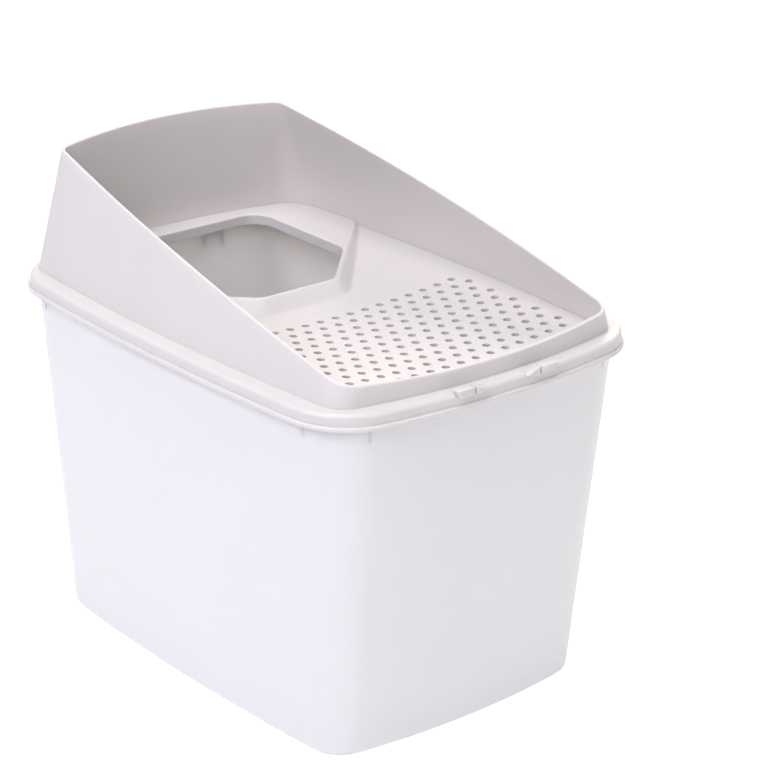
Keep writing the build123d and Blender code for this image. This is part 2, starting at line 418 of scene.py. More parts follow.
def plate(
    name: str,
    profile: Sequence[tuple[float, float]],
    start: float,
    stop: float,
    bevel: float = 0.4,
    axis: Axis = Axis.X,
) -> bpy.types.Object:
    """Make a flat plate that stands across an axis, with softened edges.

    Args:
        name: Name of the piece.
        profile: Outline of the plate as y and z, or as x and z when it stands across Y.
        start: Where the plate starts along the axis.
        stop: Where it ends.
        bevel: Size of the softened edges.
        axis: The axis that it stands across.

    Returns:
        The new object.
    """
    count = len(profile)
    points = np.array([np.insert(p, axis, at) for at in (start, stop) for p in profile])
    faces = [tuple(range(count)), tuple(range(2 * count - 1, count - 1, -1))]
    faces += [(i, (i + 1) % count, count + (i + 1) % count, count + i) for i in range(count)]
    piece = object_from(name, points, faces)
    work = bmesh.new()
    work.from_mesh(piece.data)
    sharp = [e for e in work.edges if e.calc_face_angle(0.0) > math.radians(SOFTENED)]
    bmesh.ops.bevel(work, geom=sharp, offset=bevel * MM, segments=2, affect="EDGES", profile=0.5)
    work.to_mesh(piece.data)
    work.free()
    shade(piece.data)
    return piece


def carve(piece: bpy.types.Object, tool: bpy.types.Object) -> bpy.types.Object:
    """Cut one object out of another, and remove the tool.

    Args:
        piece: Object that is cut.
        tool: Object that cuts.

    Returns:
        The cut piece.
    """
    cut = piece.modifiers.new("cut", "BOOLEAN")
    cut.operation = "DIFFERENCE"
    cut.solver = "EXACT"
    cut.object = tool
    evaluated = piece.evaluated_get(bpy.context.evaluated_depsgraph_get())
    mesh = bpy.data.meshes.new_from_object(evaluated)
    piece.modifiers.remove(cut)
    bpy.data.objects.remove(tool)
    mesh.name = piece.name
    piece.data = mesh
    shade(mesh)
    return piece


def joined(name: str, pieces: Sequence[bpy.types.Object]) -> bpy.types.Object:
    """Gather several objects into one mesh under a name, and remove the originals.

    Args:
        name: Name of the whole.
        pieces: Objects to gather.

    Returns:
        The whole.
    """
    work = bmesh.new()
    for piece in pieces:
        work.from_mesh(piece.data)
    mesh = bpy.data.meshes.new(name)
    work.to_mesh(mesh)
    work.free()
    for piece in pieces:
        bpy.data.objects.remove(piece)
    whole = bpy.data.objects.new(name, mesh)
    bpy.context.scene.collection.objects.link(whole)
    return whole


def inside(points: np.ndarray, loop: np.ndarray) -> np.ndarray:
    """Say which plan points lie inside a closed loop.

    Args:
        points: Rows of x and y.
        loop: The loop's points.

    Returns:
        True or false for each point.
    """
    result = np.zeros(len(points), bool)
    x, y = points[:, 0], points[:, 1]
    for (x0, y0), (x1, y1) in zip(loop, np.roll(loop, -1, axis=0)):
        if y0 != y1:
            crosses = (y0 > y) != (y1 > y)
            result ^= crosses & (x < (x1 - x0) * (y - y0) / (y1 - y0) + x0)
    return result


def flip_up(mesh: bpy.types.Mesh) -> None:
    """Turn an open surface over if most of it faces down."""
    if sum(p.normal.z * p.area for p in mesh.polygons) < 0:
        mesh.flip_normals()


def plain(piece: bpy.types.Object, name: str) -> bpy.types.Object:
    """Turn an object with modifiers into one with a plain mesh.

    Args:
        piece: Object that is used up.
        name: Name of the new object.

    Returns:
        The new object.
    """
    seen = piece.evaluated_get(bpy.context.evaluated_depsgraph_get())
    mesh = bpy.data.meshes.new_from_object(seen)
    bpy.data.objects.remove(piece)
    mesh.name = name
    result = bpy.data.objects.new(name, mesh)
    bpy.context.scene.collection.objects.link(result)
    return result


def blank_tree(name: str, inputs: dict[str, str]) -> tuple[bpy.types.NodeTree, bpy.types.NodeOutputs]:
    """Start a geometry node tree that takes a piece and its finish.

    Args:
        name: Name of the tree.
        inputs: Names of its other inputs with their socket types.

    Returns:
        The tree and the sockets that give its inputs.
    """
    tree = bpy.data.node_groups.new(name, "GeometryNodeTree")
    for label, kind in {"Geometry": "NodeSocketGeometry", **inputs, "Finish": "NodeSocketMaterial"}.items():
        tree.interface.new_socket(label, in_out="INPUT", socket_type=kind)
    tree.interface.new_socket("Geometry", in_out="OUTPUT", socket_type="NodeSocketGeometry")
    return tree, add_node(tree, "NodeGroupInput", {}, {}).outputs


def end_tree(tree: bpy.types.NodeTree, made: bpy.types.NodeSocket, finish: bpy.types.NodeSocket) -> None:
    """End a geometry node tree: make its instances real and give the piece its finish.

    Args:
        tree: The tree.
        made: Socket of what it made.
        finish: Socket of the material.
    """
    real = add_node(tree, "GeometryNodeRealizeInstances", {}, {"Geometry": made})
    finished = add_node(
        tree, "GeometryNodeSetMaterial", {}, {"Geometry": real.outputs["Geometry"], "Material": finish}
    )
    add_node(tree, "NodeGroupOutput", {}, {"Geometry": finished.outputs["Geometry"]})


def run_tree(
    piece: bpy.types.Object, tree: bpy.types.NodeTree, values: dict[str, object], name: str
) -> bpy.types.Object:
    """Run a geometry node tree on a piece and keep the result as a plain mesh.

    Args:
        piece: Object that is used up.
        tree: The tree.
        values: Its named inputs with their values.
        name: Name of the new object.

    Returns:
        The new object.
    """
    step = piece.modifiers.new(tree.name, "NODES")
    step.node_group = tree
    for item in tree.interface.items_tree:
        if item.item_type == "SOCKET" and item.in_out == "INPUT" and item.name in values:
            step[item.identifier] = values[item.name]
    result = plain(piece, name)
    shade(result.data)
    return result


@cache
def mirror_tree() -> bpy.types.NodeTree:
    """Make the node tree that adds mirror images to a piece.

    Returns:
        The tree, which mirrors from right to left. Its input adds the images from rear to front.
    """
    tree, given = blank_tree("mirror images", {"Front Too": "NodeSocketBool"})
    stages = [given["Geometry"]]
    for scale in ((-1, 1, 1), (1, -1, 1)):
        image = add_node(tree, "GeometryNodeTransform", {"Scale": scale}, {"Geometry": stages[-1]})
        pair = (stages[-1], image.outputs["Geometry"])
        stages.append(add_node(tree, "GeometryNodeJoinGeometry", {}, {"Geometry": pair}).outputs["Geometry"])
    chosen = add_node(
        tree, "GeometryNodeSwitch", {"input_type": "GEOMETRY"},
        {"Switch": given["Front Too"], "False": stages[1], "True": stages[2]},
    )
    end_tree(tree, chosen.outputs["Output"], given["Finish"])
    return tree


def mirrored(
    name: str, parts: Sequence[bpy.types.Object], finish: bpy.types.Material, front_too: bool = False
) -> bpy.types.Object:
    """Make one piece of parts at the right and their mirror images at the left.

    Args:
        name: Name of the piece.
        parts: Parts that are used up.
        finish: Material of the piece.
        front_too: True repeats it all at the front, where the parts are at the rear.

    Returns:
        The piece.
    """
    values = {"Front Too": front_too, "Finish": finish}
    return run_tree(joined(f"{name}_right", parts), mirror_tree(), values, name)


def dress(
    piece: bpy.types.Object, material: bpy.types.Material, body: Body, slot: Slot, *nodes: str
) -> bpy.types.Object:
    """Give a finished piece its material, its body and the nodes that it stands for.

    Args:
        piece: Object at the origin.
        material: Its finish.
        body: CAD body that it rides on.
        slot: Not used.
        nodes: CAD nodes that it replaces.

    Returns:
        The piece.
    """
    piece.data.materials.clear()
    piece.data.materials.append(material)
    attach(piece, body.value)
    if nodes:
        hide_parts(*nodes)
    return piece


# --------------------------------------------------------------------------------------------------
# The object
# --------------------------------------------------------------------------------------------------


@dataclass
class Rim:
    """Plan of the lid's rim and what hangs from it."""

    width: float = 380.5
    length: float = 512.0
    corner: float = 64.0
    side_bow: float = 10.5
    end_bow: float = 18.6
    wall: float = 2.6
    shelf_top: float = 341.3
    skirt_drop: float = 14.6
    lip_height: float = 3.8
    lip_flare: float = 2.3
    lip_round: float = 1.5
    shelf_round: float = 4.0
    edge_round: float = 0.6
    finger_half: float = 20.0
    finger_depth: float = 9.8
    finger_drop: float = 1.2

    def loop(self, inset: float) -> np.ndarray:
        """Sample the rim's outline, moved in by inset from the lip's edge."""
        return BowedOutline(
            self.width / 2 - inset, self.length / 2 - inset, self.corner - inset, self.side_bow, self.end_bow
        ).loop()

    @property
    def lip_bottom(self) -> float:
        """Height of the lip's underside."""
        return self.shelf_top - self.skirt_drop


@dataclass
class Tub:
    """The deep tapered tub with its standing ring, top flange and corner gussets."""

    height: float = 338.4
    top: BowedOutline = BowedOutline(half_x=180.9, half_y=246.9, corner=56.0, bow_x=10.0, bow_y=17.5)
    base: BowedOutline = BowedOutline(half_x=155.25, half_y=218.25, corner=34.5, bow_x=8.0, bow_y=13.0)
    wall: float = 2.6
    floor: float = 3.0
    foot_radius: float = 7.0
    ring_width: float = 9.0
    recess: float = 1.2
    flange_thickness: float = 2.5
    flange_inset: float = 5.4
    edge_round: float = 0.5
    gusset_drop: float = 27.0
    gusset_thickness: float = 2.2
    gusset_x: float = 134.0
    gusset_y: float = 190.0
    gusset_bevel: float = 0.3
    gusset_root: float = 1.2  # how far a gusset reaches into the wall
    gusset_lap: float = 0.2  # and into the flange
    gusset_shy: float = 0.3  # its outer end, inside the flange's edge
    wall_steps: int = 13
    foot_steps: int = 8
    inner_steps: int = 5
    edge_steps: int = 3
    rim: Rim = field(default_factory=Rim)

    def loop(self, z: float, inset: float = 0.0) -> np.ndarray:
        """Sample the wall's outline at height z, moved in by inset.

        Args:
            z: Height above the floor.
            inset: Distance inwards from the outside.

        Returns:
            The plan points.
        """
        t = z / self.height
        names = ("half_x", "half_y", "corner", "bow_x", "bow_y")
        half_x, half_y, corner, bow_x, bow_y = (
            getattr(self.base, name) * (1 - t) + getattr(self.top, name) * t for name in names
        )
        return BowedOutline(half_x - inset, half_y - inset, corner - inset, bow_x, bow_y).loop()

    def shell(self) -> bpy.types.Object:
        """Build the tub's wall, floor, standing ring and flange as one closed skin.

        Returns:
            The shell.
        """
        under = self.height - self.flange_thickness
        inner_foot = self.foot_radius - self.wall
        edge = self.edge_round
        ring_inset = self.foot_radius + self.ring_width
        rings = [ring(self.loop(self.recess, ring_inset), self.recess), ring(self.loop(0, ring_inset), 0.0)]
        for inset, drop in reversed(quarter_round(self.foot_radius, self.foot_steps)):
            rings.append(ring(self.loop(drop, inset), drop))
        for z in np.linspace(self.foot_radius, under, self.wall_steps + 1)[1:]:
            rings.append(ring(self.loop(z), z))
        rings.append(ring(self.rim.loop(self.flange_inset + edge), under))
        rings.append(ring(self.rim.loop(self.flange_inset), under + edge))
        for inset, drop in quarter_round(edge, self.edge_steps):
            rings.append(ring(self.rim.loop(self.flange_inset + inset), self.height - drop))
        for inset, drop in reversed(quarter_round(edge, self.edge_steps)):
            rings.append(ring(self.loop(self.height - drop, self.wall - inset), self.height - drop))
        for z in np.linspace(self.height - edge, self.foot_radius, self.wall_steps + 1)[1:]:
            rings.append(ring(self.loop(z, self.wall), z))
        for inset, drop in quarter_round(inner_foot, self.inner_steps)[1:]:
            rings.append(ring(self.loop(self.floor + drop, self.wall + inset), self.floor + drop))
        return object_from("tub_shell", *skin(rings, closed=False))

    def reach(self, loop: np.ndarray, across: Axis, at: float) -> float:
        """Find how far a loop reaches along one plan axis where the other has a given value.

        Args:
            loop: Plan points.
            across: The axis with the given value.
            at: That value.

        Returns:
            The largest coordinate there.
        """
        quadrant = loop[: len(loop) // 4 + 1]
        order = np.argsort(quadrant[:, across])
        return float(np.interp(at, quadrant[order, across], quadrant[order, 1 - across]))

    def gussets(self, plastic: bpy.types.Material) -> bpy.types.Object:
        """Build the eight small gussets between wall and flange, two at each corner.

        Args:
            plastic: Finish of the tub.

        Returns:
            The gussets as one piece.
        """
        low = self.height - self.gusset_drop
        high = self.height - self.flange_thickness
        lap = high + self.gusset_lap
        half = self.gusset_thickness / 2
        parts = []
        for across, at in ((Axis.X, self.gusset_x), (Axis.Y, self.gusset_y)):
            wall_low = self.reach(self.loop(low), across, at)
            wall_high = self.reach(self.loop(high), across, at)
            edge = self.reach(self.rim.loop(self.flange_inset + self.gusset_shy), across, at)
            root_high, root_low = wall_high - self.gusset_root, wall_low - self.gusset_root
            profile = [(wall_low, low), (edge, lap), (root_high, lap), (root_low, low)]
            parts.append(plate("gusset", profile, at - half, at + half, self.gusset_bevel, across))
        return mirrored("tub_gussets", parts, plastic, front_too=True)

    def build(self, plastic: bpy.types.Material) -> list[bpy.types.Object]:
        """Build and dress the shell and the gussets.

        Args:
            plastic: Their finish.

        Returns:
            The two pieces.
        """
        return [
            dress(self.shell(), plastic, Body.BIN, Slot.BIN, "bin"),
            dress(self.gussets(plastic), plastic, Body.BIN, Slot.BIN),
        ]


@dataclass
class Collar:
    """The sloping collar wall of the lid: low at the front, high at the rear."""

    rim: Rim = field(default_factory=Rim)
    wall: float = 3.0
    side_inset: float = 19.3
    front_inset: float = 17.1
    rear_inset: float = 3.0
    front_corner: float = 24.5
    foot_corner: float = 37.6
    top_corner: float = 12.0
    side_lean: float = 0.275
    rear_lean: float = 0.083
    front_lean: float = 0.012
    rear_rise: float = 114.1
    front_rise: float = 15.1
    crown: float = 2.8
    edge_round: float = 0.9
    edge_steps: int = 4
    wall_steps: int = 8
    foot_hidden: float = 0.3  # foot's face above the floor's underside, inside the floor
    foot_near: float = 6.0  # below the shelf, where the foot's place in plan is read
    low: float = 323.0  # the wall is ruled between its outlines at these two heights
    high: float = 458.4
    search_turns: int = 12

    def outline(self, z: float, inset: float) -> np.ndarray:
        """Sample the wall's outline at height z.

        Args:
            z: Height above the floor.
            inset: Distance inwards from the wall's outside.

        Returns:
            The plan points.
        """
        rise = z - self.rim.shelf_top
        front = -(self.rim.length / 2 - self.front_inset) + self.front_lean * rise + inset
        rear = self.rim.length / 2 - self.rear_inset - self.rear_lean * rise - inset
        corner = self.foot_corner + (self.top_corner - self.foot_corner) * rise / self.rear_rise
        half_x = self.rim.width / 2 - self.side_inset - self.side_lean * rise - inset
        middle = (rear + front) / 2
        bows = (self.rim.side_bow, self.rim.end_bow)
        ends = [
            BowedOutline(half_x, middle - front, radius - inset, *bows, middle).loop()
            for radius in (self.front_corner, corner)
        ]
        return np.where(ends[0][:, 1:] < middle, ends[0], ends[1])

    def loop(self, z: float | np.ndarray, inset: float) -> np.ndarray:
        """Sample the ruled wall.

        Args:
            z: One height for all points or one for each.
            inset: Distance inwards from the wall's outside.

        Returns:
            The plan points.
        """
        low, high = self.outline(self.low, inset), self.outline(self.high, inset)
        t = (np.broadcast_to(z, len(low)) - self.low) / (self.high - self.low)
        return low + (high - low) * t[:, None]

    def slope(self, y: np.ndarray) -> np.ndarray:
        """Give the height of the sloping top edge, an arc from the front to the rear.

        Args:
            y: Places along the length.

        Returns:
            One height for each place.
        """
        shelf, half = self.rim.shelf_top, self.rim.length / 2
        front_y = -(half - self.front_inset) + self.front_lean * self.front_rise
        rear_y = half - self.rear_inset - self.rear_lean * self.rear_rise
        front, rear = np.array([front_y, shelf + self.front_rise]), np.array([rear_y, shelf + self.rear_rise])
        middle = (front + rear) / 2 + (0.0, self.crown)
        a, b = rear - front, middle - front
        cross = a[0] * b[1] - a[1] * b[0]
        offset = np.array([b[1] * (a @ a) - a[1] * (b @ b), a[0] * (b @ b) - b[0] * (a @ a)])
        centre = front + offset / (2 * cross)
        radius = float(np.hypot(*(front - centre)))
        y = np.clip(y, front[0], rear[0])
        return centre[1] + np.sqrt(radius**2 - (y - centre[0]) ** 2)

    def top(self, inset: float) -> np.ndarray:
        """Find the height at which each ruling of the wall meets the sloping edge.

        Args:
            inset: Distance inwards from the wall's outside.

        Returns:
            One height for each point of the loop.
        """
        z = np.full(len(self.loop(self.low, inset)), self.rim.shelf_top)
        for _ in range(self.search_turns):
            z = self.slope(self.loop(z, inset)[:, 1])
        return z

    def build(
        self, plastic: bpy.types.Material, under: Callable[[np.ndarray], np.ndarray]
    ) -> bpy.types.Object:
        """Build and dress the wall, a closed ring with a softened top edge.

        Args:
            plastic: Its finish.
            under: Gives the height of the floor's underside at plan points.

        Returns:
            The collar.
        """
        rings = []
        near = self.rim.shelf_top - self.foot_near
        foot = under(self.loop(near, 0.0)) + self.foot_hidden
        crest = self.top(0.0)
        for t in np.linspace(0, 1, self.wall_steps + 1):
            z = foot + (crest - self.edge_round - foot) * t
            rings.append(ring(self.loop(z, 0.0), z))
        for inset, drop in quarter_round(self.edge_round, self.edge_steps)[1:]:
            z = self.top(inset) - drop
            rings.append(ring(self.loop(z, inset), z))
        for inset, drop in reversed(quarter_round(self.edge_round, self.edge_steps)):
            z = self.top(self.wall - inset) - drop
            rings.append(ring(self.loop(z, self.wall - inset), z))
        foot = under(self.loop(near, self.wall)) + self.foot_hidden
        crest = self.top(self.wall) - self.edge_round
        for t in np.linspace(0, 1, self.wall_steps + 1)[1:]:
            z = crest + (foot - crest) * t
            rings.append(ring(self.loop(z, self.wall), z))
        wall = object_from("lid_collar", *skin(rings, closed=True))
        return dress(wall, plastic, Body.LID, Slot.LID)


@dataclass
class LidRim:
    """The rim ring: skirt, lip, rolled shelf edge and shelf, up to the collar."""

    rim: Rim
    collar: Collar
    lip_step: float = 0.2  # soft step where the skirt stands on the lip
    skirt_hold: float = 1.0  # keeps the skirt straight just above that step
    shelf_past: float = 0.4  # flat shelf past its round, where the collar stands further out
    end_sunk: float = 0.35  # how far the shelf's end is sunk there, inside the floor
    end_lift: float = 0.1  # and how far its underside is lifted elsewhere
    inner_chamfer: float = 1.5
    edge_steps: int = 3
    lip_steps: int = 5
    shelf_steps: int = 8
    tool_reach: float = 5.0  # how far the dip's cutter stands clear of the rim
    tool_bevel: float = 0.05

    def build(self, plastic: bpy.types.Material) -> bpy.types.Object:
        """Build and dress the rim, a closed ring with the finger dip cut into it.

        Args:
            plastic: Its finish.

        Returns:
            The rim.
        """
        rim, edge = self.rim, self.rim.edge_round
        bottom, lip_top = rim.lip_bottom, rim.lip_bottom + rim.lip_height
        inner = rim.lip_flare + rim.wall
        rings = [ring(rim.loop(inner), bottom + edge), ring(rim.loop(inner - edge), bottom)]
        for inset, drop in reversed(quarter_round(edge, self.edge_steps)):
            rings.append(ring(rim.loop(inset), bottom + drop))
        for inset, drop in quarter_round(rim.lip_round, self.lip_steps):
            rings.append(ring(rim.loop(inset), lip_top - drop))
        rings.append(ring(rim.loop(rim.lip_flare - self.lip_step), lip_top))
        for rise in (self.lip_step, self.skirt_hold):
            rings.append(ring(rim.loop(rim.lip_flare), lip_top + rise))
        for inset, drop in quarter_round(rim.shelf_round, self.shelf_steps):
            rings.append(ring(rim.loop(rim.lip_flare + inset), rim.shelf_top - drop))
        turn = rim.loop(rim.lip_flare + rim.shelf_round + self.shelf_past)
        wall = self.collar.loop(rim.shelf_top, self.collar.wall / 2)
        past = ~inside(wall, turn)
        end = np.where(past[:, None], turn, wall)
        shelf_under = rim.shelf_top - rim.wall
        rings.append(ring(end, rim.shelf_top - self.end_sunk * past))
        rings.append(ring(end, shelf_under + np.where(past, self.end_sunk, self.end_lift)))
        rings.append(ring(rim.loop(inner + self.inner_chamfer), shelf_under))
        rings.append(ring(rim.loop(inner), shelf_under - self.inner_chamfer))
        whole = object_from("lid_rim", *skin(rings, closed=True))
        front, high, half = -rim.length / 2, rim.shelf_top, rim.finger_half
        clear, over, low = front - self.tool_reach, high + self.tool_reach, high - rim.finger_drop
        dip = [
            (front + rim.finger_depth, high), (front, low), (clear, low),
            (clear, over), (front + rim.finger_depth, over),
        ]
        ring_with_dip = carve(whole, plate("dip", dip, -half, half, self.tool_bevel))
        return dress(ring_with_dip, plastic, Body.LID, Slot.LID, "lid")


# The sums that place the drain holes: a name, what is done, and what it is done with. A name among the
# latter is an earlier sum, an input of the tree, or X or Y of the point.
DRILL_SUMS: tuple[tuple[str | float, ...], ...] = (
    ("Row Pitch", "MULTIPLY", "Pitch", math.sqrt(3) / 2),
    ("Column Gaps", "SUBTRACT", "Columns", 1.0),
    ("Row Gaps", "SUBTRACT", "Rows", 1.0),
    ("Grid X", "MULTIPLY", "Column Gaps", "Pitch"),
    ("Grid Y", "MULTIPLY", "Row Gaps", "Row Pitch"),
    ("Radius", "DIVIDE", "Diameter", 2.0),
    # the grid's rows count from the rear, and every second one is staggered
    ("Grid Rear", "DIVIDE", "Grid Y", 2.0),
    ("From First", "SUBTRACT", "Grid Rear", "Y"),
    ("Rows From First", "DIVIDE", "From First", "Row Pitch"),
    ("Row", "ROUND", "Rows From First"),
    ("Odd", "MODULO", "Row", 2.0),
    ("Half Pitch", "DIVIDE", "Pitch", 2.0),
    ("Stagger", "MULTIPLY", "Odd", "Half Pitch"),
    ("Hole X", "ADD", "X", "Stagger"),
    ("Hole Y", "SUBTRACT", "First Row", "From First"),
    # holes past the field's sides, its bowed front or the rounds between them are left out
    ("Wide", "ABSOLUTE", "X"),
    ("Share", "DIVIDE", "Wide", "Field Half Width"),
    ("Share Squared", "POWER", "Share", 2.0),
    ("Bow", "MULTIPLY", "Share Squared", "Field Bow"),
    ("Bowed Front", "ADD", "Field Front", "Bow"),
    ("Round Y", "ADD", "Bowed Front", "Field Corner"),
    ("Past Round Y", "SUBTRACT", "Round Y", "Y"),
    ("Out Y", "MAXIMUM", 0.0, "Past Round Y"),
    ("Past Side", "SUBTRACT", "Wide", "Field Half Width"),
    ("Past Round X", "ADD", "Past Side", "Field Corner"),
    ("Out X", "MAXIMUM", 0.0, "Past Round X"),
    ("Out X Squared", "POWER", "Out X", 2.0),
    ("Out Y Squared", "POWER", "Out Y", 2.0),
    ("Out Squared", "ADD", "Out X Squared", "Out Y Squared"),
    ("Out", "SQRT", "Out Squared"),
    ("Outside", "GREATER_THAN", "Out", "Field Corner"),
)


@dataclass
class LidFloor:
    """The lid's floor: raised deck, sloping riser, trough-shaped step and turned-down entry lip."""

    rim: Rim
    collar: Collar
    step_drop: float = 13.1
    step_radius: float = 1500.0  # the trough's radius across the width
    front: float = 27.5  # y of the deck's front edge
    front_half: float = 45.0
    corner_round: float = 16.0
    riser_angle: float = 42.0  # degrees from upright
    top_round: float = 4.0
    foot_blend: float = 1.6
    border_inset: float = 0.2  # collar's outside to the floor's edge, inside the collar's wall
    border_turns: int = 4  # turns of the search for the height of the floor's edge
    entry_margin: float = 3.5
    entry_half: float = 105.0
    entry_rear: float = 226.6
    entry_corner: float = 22.0
    entry_lip: float = 10.0
    entry_round: float = 0.9
    entry_steps: int = 3  # round the hole's upper edge
    lip_falls: tuple[float, ...] = (2.0, 5.0, 8.0)  # rows of points down the lip
    bend_rows: tuple[float, ...] = (0.6, 1.2, 1.8, 2.4)  # lines round the deck's edge
    riser_start: float = 2.5  # lines down the riser and past its foot
    riser_past: float = 4.0
    riser_rows: int = 12
    front_points: int = 6  # of such a line, on half of the front
    corner_points: int = 9  # round a corner
    side_points: int = 40  # along a side
    side_length: float = 200.0
    grid_step: float = 8.0  # points spread over the step, for its trough
    grid_half: float = 168.0
    grid_ends: tuple[float, float] = (-236.0, 20.0)
    grid_clear: float = 7.0  # distance of the nearest one from the riser's foot
    merge_within: float = 1e-4  # points of the plan this near are one
    hole_diameter: float = 7.6
    hole_pitch: float = 17.5
    first_row: float = -23.6
    field_half: float = 150.0
    field_corner: float = 34.0
    field_margin: float = 14.0  # collar's outside to the nearest holes
    drill_sides: int = 20
    drill_length: float = 60.0

    @property
    def corner_centre(self) -> tuple[float, float]:
        """X and y of the centre of the round at the deck's right front corner."""
        return self.front_half - (math.sqrt(2) - 1) * self.corner_round, self.front + self.corner_round

    @property
    def steep(self) -> float:
        """Fall of the riser for each millimetre outwards."""
        return 1 / math.tan(math.radians(self.riser_angle))

    @property
    def tilt(self) -> float:
        """Slope of the riser from level, in radians."""
        return math.atan(self.steep)

    @property
    def reach(self) -> float:
        """Distance from the deck's edge back to where its round starts."""
        return self.top_round * math.tan(self.tilt / 2)

    @property
    def field_front(self) -> float:
        """Y of the frontmost line that the drain holes keep to."""
        return -(self.rim.length / 2 - self.collar.front_inset) + self.field_margin

    def beyond(self, plan: np.ndarray) -> np.ndarray:
        """Measure how far points lie outside the deck's rounded front edge.

        Args:
            plan: Rows of x and y.

        Returns:
            One distance for each point, negative on the deck.
        """
        x, y = np.abs(plan[:, 0]), plan[:, 1]
        corner_x, level = self.corner_centre
        to_front = level - y
        to_side = ((x - corner_x) - (y - level)) / math.sqrt(2)
        along = np.array([1.0, 1.0]) / math.sqrt(2)
        past_front = x - corner_x > 0
        past_side = (x - corner_x) * along[0] + (y - level) * along[1] < 0
        to_corner = np.hypot(x - corner_x, y - level)
        return np.where(past_front & past_side, to_corner, np.maximum(to_front, to_side)) - self.corner_round

    def height(self, plan: np.ndarray) -> np.ndarray:
        """Give the height of the floor's upper face at plan points.

        Args:
            plan: Rows of x and y.

        Returns:
            One height for each point.
        """
        past = self.beyond(plan) + self.reach
        bend = self.top_round * math.sin(self.tilt)
        rounding = np.clip(past, 0, bend)
        arc = self.top_round - np.sqrt(self.top_round**2 - rounding**2)
        straight = np.maximum(past - bend, 0) * self.steep
        riser = self.rim.shelf_top - arc - straight
        x = plan[:, 0]
        trough = self.rim.shelf_top - self.step_drop + self.step_radius - np.sqrt(self.step_radius**2 - x**2)
        mix = np.clip(0.5 + (riser - trough) / (2 * self.foot_blend), 0, 1)
        return trough + (riser - trough) * mix + self.foot_blend * mix * (1 - mix)

    def under(self, plan: np.ndarray) -> np.ndarray:
        """Give the height of the floor's underside at plan points."""
        return self.height(plan) - self.rim.wall

    def entry_loop(self, grow: float = 0.0, steps: int = 8) -> np.ndarray:
        """Sample the entry hole's outline with rounded corners, anticlockwise.

        Args:
            grow: Distance outwards from the hole's edge.
            steps: Steps round each corner.

        Returns:
            The plan points.
        """
        front = self.front + self.entry_margin - grow
        half = self.entry_half + grow
        # the front and the slanting side meet at 45 degrees
        mitre = (self.entry_margin - grow) * math.tan(math.radians(45 / 2))
        narrow = self.front_half + mitre - self.entry_margin + grow
        rear = self.entry_rear + grow
        corners = np.array([
            (-narrow, front), (narrow, front), (half, front + half - narrow),
            (half, rear), (-half, rear), (-half, front + half - narrow),
        ])
        radius = self.entry_corner + grow
        points = []
        for k, here in enumerate(corners):
            back = corners[k - 1] - here
            ahead = corners[(k + 1) % len(corners)] - here
            back, ahead = back / np.hypot(*back), ahead / np.hypot(*ahead)
            half_angle = math.acos(float(np.clip(back @ ahead, -1, 1))) / 2
            middle = here + (back + ahead) / np.hypot(*(back + ahead)) * radius / math.sin(half_angle)
            first = here + back * radius / math.tan(half_angle) - middle
            turn = math.pi - 2 * half_angle
            start = math.atan2(first[1], first[0])
            for t in np.linspace(0, turn, steps + 1):
                points.append(middle + radius * np.array([math.cos(start + t), math.sin(start + t)]))
        return np.array(points)

    def edge_path(self, distance: float) -> np.ndarray:
        """Trace a line beside the deck's front edge.

        Args:
            distance: Distance outwards from the edge.

        Returns:
            The plan points, left to right.
        """
        corner_x, level = self.corner_centre
        radius = self.corner_round + distance
        right = [np.array([x, level - radius]) for x in np.linspace(0, corner_x, self.front_points)[:-1]]
        for angle in np.linspace(-90, -45, self.corner_points):
            a = math.radians(angle)
            right.append(np.array([corner_x + radius * math.cos(a), level + radius * math.sin(a)]))
        corner_end = right[-1]
        for step in np.linspace(0, self.side_length, self.side_points)[1:]:
            right.append(corner_end + np.array([step, step]) / math.sqrt(2))
        half = np.array(right)
        return np.vstack([half[:0:-1] * (-1, 1), half])

    def surface(self) -> bpy.types.Object:
        """Build the floor's upper face, with the entry hole and its turned-down lip.

        Returns:
            An open surface, facing up.
        """
        border = self.collar.loop(self.rim.shelf_top - self.collar.foot_near, self.border_inset)
        for _ in range(self.border_turns):
            border = self.collar.loop(self.height(border), self.border_inset)
        hole = self.entry_loop(self.entry_round)
        points: list[tuple[float, float]] = []
        edges: list[tuple[int, int]] = []

        def add(path: np.ndarray, close: bool) -> None:
            """Add a chain of points and its edges to the plan.

            Args:
                path: The points.
                close: Whether the last point joins the first.
            """
            start = len(points)
            points.extend(map(tuple, path))
            count = len(path)
            edges.extend((start + i, start + (i + 1) % count) for i in range(count if close else count - 1))

